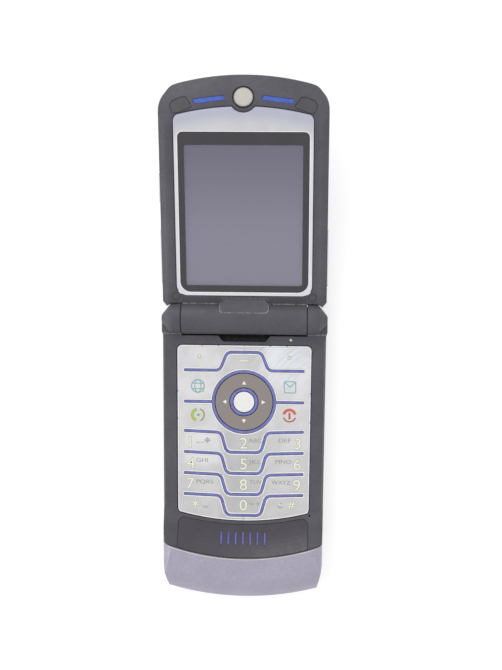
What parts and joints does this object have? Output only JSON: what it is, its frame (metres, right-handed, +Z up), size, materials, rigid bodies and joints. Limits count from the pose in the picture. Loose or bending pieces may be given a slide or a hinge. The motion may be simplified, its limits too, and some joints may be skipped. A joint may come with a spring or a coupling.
{
  "type": "flip phone",
  "caption": "Thin clamshell phone lying open on its back, with a hinged flip, pressing keys, a rocking navigation ring, a raised chin and a lift-off battery door.",
  "frame": {"origin": "centre of the closed body's length and width, on its flat back face, which is the battery door's outer face", "axes": "+X to the right as the keypad is read, +Y from the chin to the hinge and the flip, +Z up out of the keypad"},
  "size_m": [0.0538, 0.1698, 0.0223],
  "materials": {
    "dark_shell": "soft-touch, fine satin",
    "lavender_paint": "satin metallic paint",
    "lavender_metal": "satin anodised",
    "silver_metal": "bright satin",
    "key_metal": "fine brushed",
    "blue_keymat": "translucent, lit",
    "blue_insert": "gloss",
    "nav_finish": "satin, spun",
    "white_button": "translucent satin",
    "bright_steel": "satin",
    "spring_steel": "satin",
    "circuit_board": "solder mask",
    "antenna_plastic": "moulded",
    "battery_wrap": "film wrapped",
    "black_rubber": "matt",
    "screen": "unlit display",
    "window_glass": "clear, hard coated",
    "lens_glass": "coated"
  },
  "bodies": {
    "base": {"front_housing": "dark_shell", "rear_housing": "dark_shell", "chin_cover": "lavender_paint", "chin_panel": "dark_shell", "chin_inserts": "blue_insert", "keymat": "blue_keymat", "dome_sheet": "spring_steel", "main_board": "circuit_board", "microphone": "bright_steel", "loudspeaker": "black_rubber", "sim_holder": "bright_steel", "usb_socket": "bright_steel", "battery": "battery_wrap", "antenna": "antenna_plastic", "hinge_pins": "bright_steel", "base_screws": "bright_steel"},
    "flip": {"flip_housing": "dark_shell", "flip_outer_cover": "lavender_metal", "display_bezel": "silver_metal", "display_window": "window_glass", "main_lcd": "screen", "flip_board": "circuit_board", "outer_window_pane": "window_glass", "outer_lcd": "screen", "camera_ring": "bright_steel", "camera_lens": "lens_glass", "camera_module": "black_rubber", "earpiece_speaker": "black_rubber", "earpiece_inserts": "blue_insert", "earpiece_disc": "silver_metal", "flip_bumpers": "black_rubber", "flip_screw_plugs": "black_rubber", "flip_screws": "bright_steel"},
    "volume_rocker": {"volume_rocker": "silver_metal"},
    "smart_key": {"smart_key": "silver_metal"},
    "voice_key": {"voice_key": "silver_metal"},
    "battery_door": {"battery_door": "lavender_metal"},
    "door_latch": {"door_latch": "dark_shell"},
    "nav_plate": {"nav_plate": "bright_steel"},
    "nav_ring": {"nav_ring": "nav_finish"},
    "select_button": {"select_button": "white_button"},
    "key_left_soft": {"key_left_soft": "key_metal"},
    "key_right_soft": {"key_right_soft": "key_metal"},
    "key_menu": {"key_menu": "key_metal"},
    "key_browser": {"key_browser": "key_metal"},
    "key_message": {"key_message": "key_metal"},
    "key_send": {"key_send": "key_metal"},
    "key_end": {"key_end": "key_metal"},
    "key_1": {"key_1": "key_metal"},
    "key_2": {"key_2": "key_metal"},
    "key_3": {"key_3": "key_metal"},
    "key_4": {"key_4": "key_metal"},
    "key_5": {"key_5": "key_metal"},
    "key_6": {"key_6": "key_metal"},
    "key_7": {"key_7": "key_metal"},
    "key_8": {"key_8": "key_metal"},
    "key_9": {"key_9": "key_metal"},
    "key_star": {"key_star": "key_metal"},
    "key_0": {"key_0": "key_metal"},
    "key_hash": {"key_hash": "key_metal"}
  },
  "joints": [
    {"name": "flip_hinge", "type": "hinge", "parent": "base", "child": "flip", "pos_m": [0, 0.0441, 0.00745], "axis": [1, 0, 0], "range_deg": [0, 167.3]},
    {"name": "key_left_soft_press", "type": "slide", "parent": "base", "child": "key_left_soft", "axis": [0, 0, -1], "range_m": [0, 0.00025], "stiffness_N_per_m": 1000},
    {"name": "key_right_soft_press", "type": "slide", "parent": "base", "child": "key_right_soft", "axis": [0, 0, -1], "range_m": [0, 0.00025], "stiffness_N_per_m": 1000},
    {"name": "key_menu_press", "type": "slide", "parent": "base", "child": "key_menu", "axis": [0, 0, -1], "range_m": [0, 0.00025], "stiffness_N_per_m": 1000},
    {"name": "key_browser_press", "type": "slide", "parent": "base", "child": "key_browser", "axis": [0, 0, -1], "range_m": [0, 0.00025], "stiffness_N_per_m": 1000},
    {"name": "key_message_press", "type": "slide", "parent": "base", "child": "key_message", "axis": [0, 0, -1], "range_m": [0, 0.00025], "stiffness_N_per_m": 1000},
    {"name": "key_send_press", "type": "slide", "parent": "base", "child": "key_send", "axis": [0, 0, -1], "range_m": [0, 0.00025], "stiffness_N_per_m": 1000},
    {"name": "key_end_press", "type": "slide", "parent": "base", "child": "key_end", "axis": [0, 0, -1], "range_m": [0, 0.00025], "stiffness_N_per_m": 1000},
    {"name": "key_1_press", "type": "slide", "parent": "base", "child": "key_1", "axis": [0, 0, -1], "range_m": [0, 0.00025], "stiffness_N_per_m": 1000},
    {"name": "key_2_press", "type": "slide", "parent": "base", "child": "key_2", "axis": [0, 0, -1], "range_m": [0, 0.00025], "stiffness_N_per_m": 1000},
    {"name": "key_3_press", "type": "slide", "parent": "base", "child": "key_3", "axis": [0, 0, -1], "range_m": [0, 0.00025], "stiffness_N_per_m": 1000},
    {"name": "key_4_press", "type": "slide", "parent": "base", "child": "key_4", "axis": [0, 0, -1], "range_m": [0, 0.00025], "stiffness_N_per_m": 1000},
    {"name": "key_5_press", "type": "slide", "parent": "base", "child": "key_5", "axis": [0, 0, -1], "range_m": [0, 0.00025], "stiffness_N_per_m": 1000},
    {"name": "key_6_press", "type": "slide", "parent": "base", "child": "key_6", "axis": [0, 0, -1], "range_m": [0, 0.00025], "stiffness_N_per_m": 1000},
    {"name": "key_7_press", "type": "slide", "parent": "base", "child": "key_7", "axis": [0, 0, -1], "range_m": [0, 0.00025], "stiffness_N_per_m": 1000},
    {"name": "key_8_press", "type": "slide", "parent": "base", "child": "key_8", "axis": [0, 0, -1], "range_m": [0, 0.00025], "stiffness_N_per_m": 1000},
    {"name": "key_9_press", "type": "slide", "parent": "base", "child": "key_9", "axis": [0, 0, -1], "range_m": [0, 0.00025], "stiffness_N_per_m": 1000},
    {"name": "key_star_press", "type": "slide", "parent": "base", "child": "key_star", "axis": [0, 0, -1], "range_m": [0, 0.00025], "stiffness_N_per_m": 1000},
    {"name": "key_0_press", "type": "slide", "parent": "base", "child": "key_0", "axis": [0, 0, -1], "range_m": [0, 0.00025], "stiffness_N_per_m": 1000},
    {"name": "key_hash_press", "type": "slide", "parent": "base", "child": "key_hash", "axis": [0, 0, -1], "range_m": [0, 0.00025], "stiffness_N_per_m": 1000},
    {"name": "select_press", "type": "slide", "parent": "base", "child": "select_button", "axis": [0, 0, -1], "range_m": [0, 0.00025], "stiffness_N_per_m": 1000},
    {"name": "nav_rock_up_down", "type": "hinge", "parent": "base", "child": "nav_plate", "pos_m": [0, 0.01695, 0.00674], "axis": [1, 0, 0], "range_deg": [-1.2, 1.2], "stiffness_Nm_per_rad": 0.3},
    {"name": "nav_rock_left_right", "type": "hinge", "parent": "nav_plate", "child": "nav_ring", "pos_m": [0, 0.01695, 0.00674], "axis": [0, 1, 0], "range_deg": [-1.2, 1.2], "stiffness_Nm_per_rad": 0.3},
    {"name": "smart_key_press", "type": "slide", "parent": "flip", "child": "smart_key", "axis": [1, 0, 0], "range_m": [0, 0.0003], "stiffness_N_per_m": 1000},
    {"name": "voice_key_press", "type": "slide", "parent": "flip", "child": "voice_key", "axis": [-1, 0, 0], "range_m": [0, 0.0003], "stiffness_N_per_m": 1000},
    {"name": "volume_rock", "type": "hinge", "parent": "flip", "child": "volume_rocker", "pos_m": [-0.0262, 0.06475, 0.00908], "axis": [0, 0.2198, -0.9755], "range_deg": [-1, 1], "stiffness_Nm_per_rad": 0.2},
    {"name": "door_lift", "type": "slide", "parent": "base", "child": "battery_door", "axis": [0, 0, -1], "range_m": [0, 0.008]},
    {"name": "latch_slide", "type": "slide", "parent": "base", "child": "door_latch", "axis": [0, 1, 0], "range_m": [0, 0.001], "stiffness_N_per_m": 1000}
  ]
}
